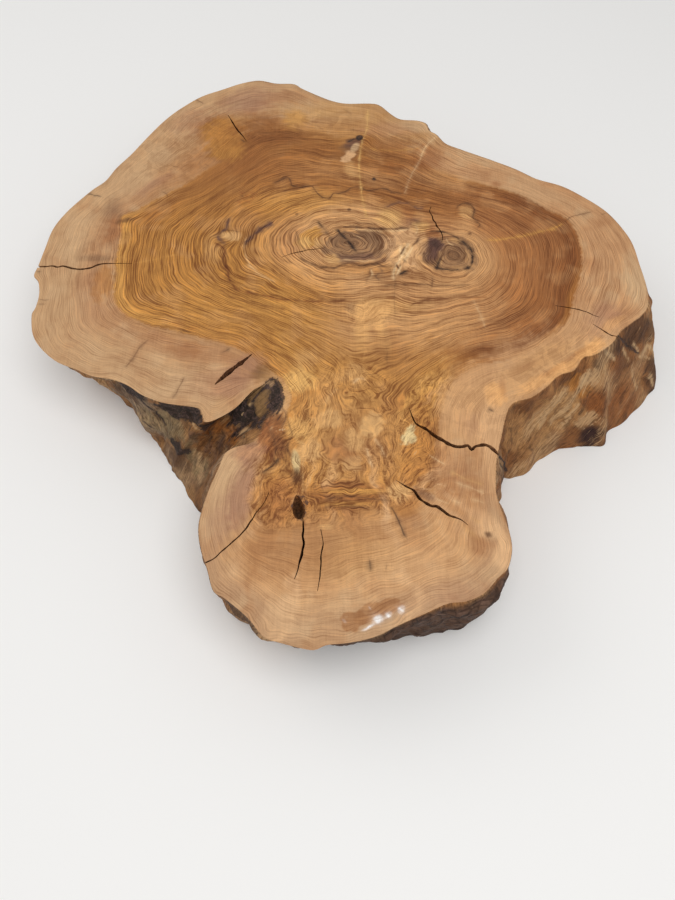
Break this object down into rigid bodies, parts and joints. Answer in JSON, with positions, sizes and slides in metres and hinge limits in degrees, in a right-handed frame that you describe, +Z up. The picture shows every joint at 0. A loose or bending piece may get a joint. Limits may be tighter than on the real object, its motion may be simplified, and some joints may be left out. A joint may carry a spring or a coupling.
{
  "type": "olive wood slice",
  "caption": "Thick cross-cut slice of an old olive trunk with a natural edge, a round lobe at the front, sawn flat above and below, to lie flat as a table top or stand.",
  "frame": {"origin": "middle of the slice's plan, on its sawn underside", "axes": "+Z up from the underside to the sawn top, +Y from the front lobe to the far edge, +X to the right"},
  "size_m": [0.6268, 0.6882, 0.09],
  "materials": {
    "olive_wood": "sawn and sanded end grain, unvarnished, with a weathered side that keeps some bark"
  },
  "bodies": {
    "root": {"olive_slice": "olive_wood"}
  },
  "joints": []
}
